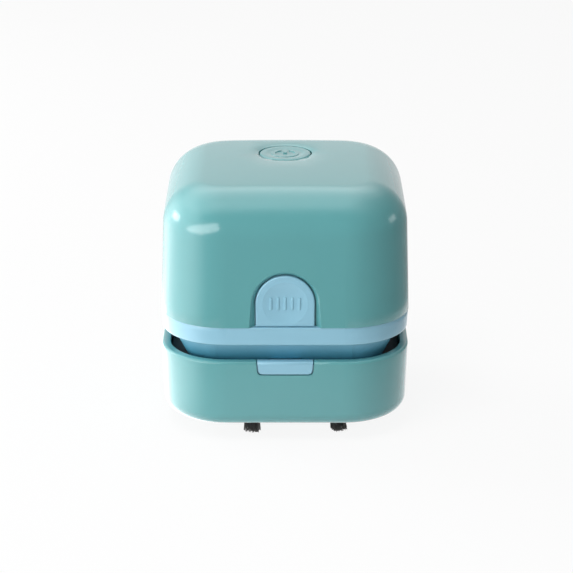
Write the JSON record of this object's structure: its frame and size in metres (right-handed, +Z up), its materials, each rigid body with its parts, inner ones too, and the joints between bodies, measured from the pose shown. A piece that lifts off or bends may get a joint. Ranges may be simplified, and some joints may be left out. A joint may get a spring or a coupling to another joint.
{
  "type": "desktop mini vacuum cleaner",
  "caption": "Rounded-cube desk vacuum: a press latch frees the motor housing from a dust base with a bristle ring.",
  "frame": {"origin": "on the table at the bristle tips, under the middle of the square body", "axes": "+Z up, -Y to the front with the latch button, +X to the right seen from the front"},
  "size_m": [0.0804, 0.0804, 0.083],
  "materials": {
    "teal_plastic": "glossy moulded teal",
    "pale_blue_plastic": "glossy moulded light blue",
    "dark_plastic": "matt black moulded",
    "black_bristle": "black nylon bristle",
    "black_rubber": "matt black rubber",
    "grey_plastic": "matt grey moulded",
    "white_plastic": "natural white nylon",
    "circuit_board": "green solder mask",
    "screw_steel": "bright plated steel",
    "motor_steel": "drawn and plated steel",
    "bronze": "plain sintered bronze",
    "ferrite": "dark grey, matt",
    "battery_wrap": "blue shrink wrap",
    "lamp_plastic": "milky light guide",
    "red_sleeve": "red insulation",
    "black_sleeve": "black insulation",
    "filter_cloth": "pleated white non-woven cloth"
  },
  "bodies": {
    "dust_base": {"lower_shell": "teal_plastic", "inlet_tube": "dark_plastic", "catch_tab": "pale_blue_plastic"},
    "brush": {"brush_ring": "dark_plastic", "brush_tufts": "black_bristle"},
    "housing": {"base_chassis": "pale_blue_plastic", "neck_seal": "black_rubber", "motor_plate": "grey_plastic", "upper_shell": "teal_plastic", "push_switch": "dark_plastic", "switch_board": "circuit_board", "housing_screws": "screw_steel", "switch_screws": "screw_steel", "board_screws": "screw_steel", "motor_screws": "screw_steel", "latch_spring": "screw_steel", "motor_can": "motor_steel", "motor_cap": "white_plastic", "motor_bushes": "bronze", "motor_magnets": "ferrite", "motor_terminals": "bronze", "fan_cover": "grey_plastic", "battery_pack": "battery_wrap", "control_board": "circuit_board", "usb_socket": "motor_steel", "charge_lamp": "lamp_plastic", "motor_lead_red": "red_sleeve", "motor_lead_black": "black_sleeve"},
    "fan": {"impeller": "grey_plastic", "motor_shaft": "screw_steel", "motor_rotor": "ferrite"},
    "latch": {"latch_button": "pale_blue_plastic"},
    "power": {"power_button": "teal_plastic", "switch_plunger": "dark_plastic"},
    "filter": {"filter_frame": "dark_plastic", "filter_cloth": "filter_cloth", "filter_seal": "black_rubber"}
  },
  "joints": [
    {"name": "housing_lift", "type": "slide", "parent": "dust_base", "child": "housing", "axis": [0, 0, 1], "range_m": [0, 0.07]},
    {"name": "filter_pull", "type": "slide", "parent": "housing", "child": "filter", "axis": [0, 0, -1], "range_m": [0, 0.0246]},
    {"name": "latch_press", "type": "slide", "parent": "housing", "child": "latch", "axis": [0, 1, 0], "range_m": [0, 0.002], "stiffness_N_per_m": 500, "springref_m": -0.001, "deforming": ["latch_spring"]},
    {"name": "power_press", "type": "slide", "parent": "housing", "child": "power", "axis": [0, 0, -1], "range_m": [0, 0.0012], "stiffness_N_per_m": 600, "springref_m": -0.001},
    {"name": "fan_spin", "type": "hinge", "parent": "housing", "child": "fan", "pos_m": [0, 0, 0.033], "axis": [0, 0, 1], "continuous": true},
    {"name": "brush_turn", "type": "hinge", "parent": "dust_base", "child": "brush", "pos_m": [0, 0, 0.007], "axis": [0, 0, 1], "continuous": true}
  ],
  "couplings": [
    {"joint": "filter_pull", "follows": "housing_lift", "ratio": 0.35}
  ]
}
